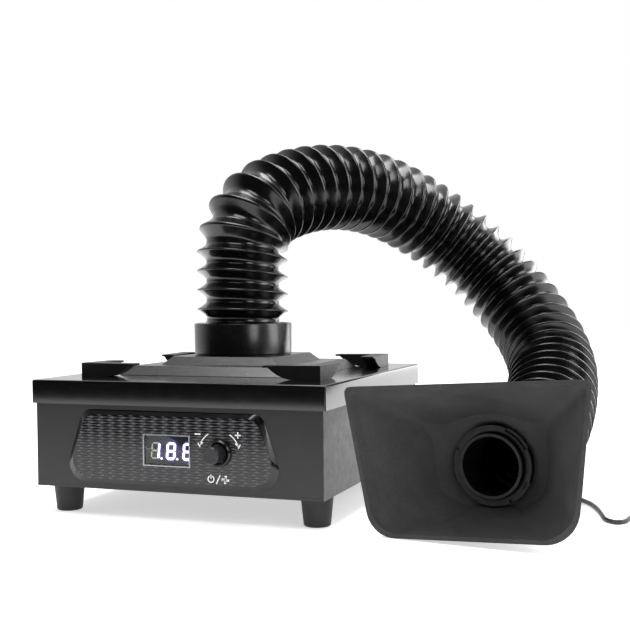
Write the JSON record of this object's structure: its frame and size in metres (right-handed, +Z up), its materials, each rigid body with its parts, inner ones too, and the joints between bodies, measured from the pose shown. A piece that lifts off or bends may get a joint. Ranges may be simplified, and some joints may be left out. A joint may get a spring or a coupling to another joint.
{
  "type": "solder fume extractor",
  "caption": "Bench fume extractor: a low case with fan and filters, a digital display and speed knob, and a positionable accordion duct ending in a rectangular rubber hood.",
  "frame": {"origin": "on the bench, at the centre of the outline of everything but the cord and its adapter", "axes": "+Z up, -Y towards the front with the display, +X to the user's right, where the duct comes down"},
  "size_m": [0.516, 0.3882, 0.3034],
  "materials": {
    "cover_paint": "gloss black powder coat, smooth",
    "case_paint": "satin dark grey paint",
    "foot_rubber": "matt black rubber",
    "screw_steel": "zinc-plated steel",
    "block_plastic": "fine-textured black ABS",
    "tray_plastic": "moulded grey ABS",
    "guard_steel": "bright steel wire guard",
    "filter_paper": "pleated white filter paper",
    "carbon_foam": "activated carbon foam",
    "sponge_foam": "open-cell grey foam",
    "adapter_paint": "satin black paint",
    "gasket_foam": "closed-cell foam strip",
    "collar_plastic": "satin black ABS",
    "hose_plastic": "glossy black polypropylene",
    "hood_rubber": "matt dark grey rubber, slightly mottled",
    "throat_plastic": "satin black plastic",
    "fan_plastic": "glass-filled black plastic",
    "winding_copper": "enamelled copper winding",
    "bearing_steel": "polished bearing steel",
    "fascia_film": "black fascia with a fine woven-look pattern",
    "bezel_metal": "satin dark chrome rim",
    "window_glass": "clear display window",
    "display_led": "white seven-segment display, emissive",
    "knob_plastic": "soft-touch black plastic",
    "ring_plastic": "gloss black plastic",
    "encoder_metal": "die-cast encoder body",
    "rotor_plastic": "white moulded plastic",
    "board_green": "green solder mask",
    "spacer_brass": "turned brass",
    "jack_plastic": "black moulded plastic",
    "wire_pvc": "red PVC insulation",
    "cord_pvc": "black PVC twin flex",
    "brick_plastic": "textured black plastic",
    "pin_brass": "nickel-plated brass"
  },
  "bodies": {
    "case": {"top_cover": "cover_paint", "case_shell": "case_paint", "front_panel": "case_paint", "bottom_plate": "case_paint", "feet": "foot_rubber", "foot_screws": "screw_steel", "case_screws": "screw_steel", "corner_blocks": "block_plastic", "filter_tray": "tray_plastic", "filter_guard": "guard_steel", "hepa_filter": "filter_paper", "carbon_filter": "carbon_foam", "sponge_prefilter": "sponge_foam", "fan_frame": "fan_plastic", "fan_motor": "winding_copper", "fan_bearings": "bearing_steel", "fan_screws": "screw_steel", "fan_spacers": "gasket_foam", "fascia": "fascia_film", "display_bezel": "bezel_metal", "display_window": "window_glass", "display_module": "display_led", "knob_ring": "ring_plastic", "encoder": "encoder_metal", "encoder_nut": "screw_steel", "control_board": "board_green", "board_spacers": "spacer_brass", "exhaust_grille": "case_paint", "dc_jack": "jack_plastic", "jack_nut": "screw_steel", "wiring": "wire_pvc", "barrel_plug": "jack_plastic", "power_cord": "cord_pvc", "cord_coil": "cord_pvc", "coil_tie": "jack_plastic", "power_adapter": "brick_plastic", "adapter_pins": "pin_brass"},
    "adapter": {"duct_adapter": "adapter_paint", "adapter_gasket": "gasket_foam", "hose_collar": "collar_plastic"},
    "hose_base": {"hose_section_1": "hose_plastic"},
    "hose_2": {"hose_section_2": "hose_plastic"},
    "hose_3": {"hose_section_3": "hose_plastic"},
    "hose_4": {"hose_section_4": "hose_plastic"},
    "hose_5": {"hose_section_5": "hose_plastic", "hose_connector": "throat_plastic"},
    "hood": {"hood": "hood_rubber"},
    "lock_ring": {"lock_ring": "throat_plastic"},
    "fan_rotor": {"fan_rotor": "fan_plastic"},
    "encoder_shaft": {"encoder_rotor": "rotor_plastic"},
    "knob": {"knob": "knob_plastic"}
  },
  "joints": [
    {"name": "adapter_lift", "type": "slide", "parent": "case", "child": "adapter", "axis": [0, 0, 1], "range_m": [0, 0.06]},
    {"name": "hose_swivel", "type": "hinge", "parent": "adapter", "child": "hose_base", "pos_m": [-0.0905, -0.04, 0.131], "axis": [0, 0, 1], "range_deg": [0, 20]},
    {"name": "hose_bend_1", "type": "hinge", "parent": "hose_base", "child": "hose_2", "pos_m": [-0.0905, -0.04, 0.208], "axis": [-0.3495, -0.9369, 0], "range_deg": [0, 10]},
    {"name": "hose_bend_2", "type": "hinge", "parent": "hose_2", "child": "hose_3", "pos_m": [-0.04039, 0.04991, 0.26508], "axis": [-0.6998, -0.7143, 0], "range_deg": [0, 12]},
    {"name": "hose_bend_3", "type": "hinge", "parent": "hose_3", "child": "hose_4", "pos_m": [0.09588, 0.15417, 0.17403], "axis": [-0.9885, -0.1512, 0], "range_deg": [0, 14]},
    {"name": "hose_bend_4", "type": "hinge", "parent": "hose_4", "child": "hose_5", "pos_m": [0.15331, 0.07214, 0.09113], "axis": [-0.9973, 0.0739, 0], "range_deg": [0, 14]},
    {"name": "hood_pull", "type": "slide", "parent": "hose_5", "child": "hood", "axis": [-0.1679, -0.9858, 0.0098], "range_m": [0, 0.04]},
    {"name": "lock_turn", "type": "hinge", "parent": "hood", "child": "lock_ring", "pos_m": [0.13866, -0.12548, 0.04653], "axis": [-0.1679, -0.9858, 0.0098], "range_deg": [0, 30]},
    {"name": "fan_spin", "type": "hinge", "parent": "case", "child": "fan_rotor", "pos_m": [-0.0905, -0.04, 0.041], "axis": [0, 0, 1], "continuous": true},
    {"name": "encoder_turn", "type": "hinge", "parent": "case", "child": "encoder_shaft", "pos_m": [-0.0519, -0.16, 0.0535], "axis": [0, 1, 0], "continuous": true},
    {"name": "knob_push", "type": "slide", "parent": "encoder_shaft", "child": "knob", "axis": [0, 1, 0], "range_m": [0, 0.0005], "stiffness_N_per_m": 6000, "springref_m": -0.0002}
  ]
}
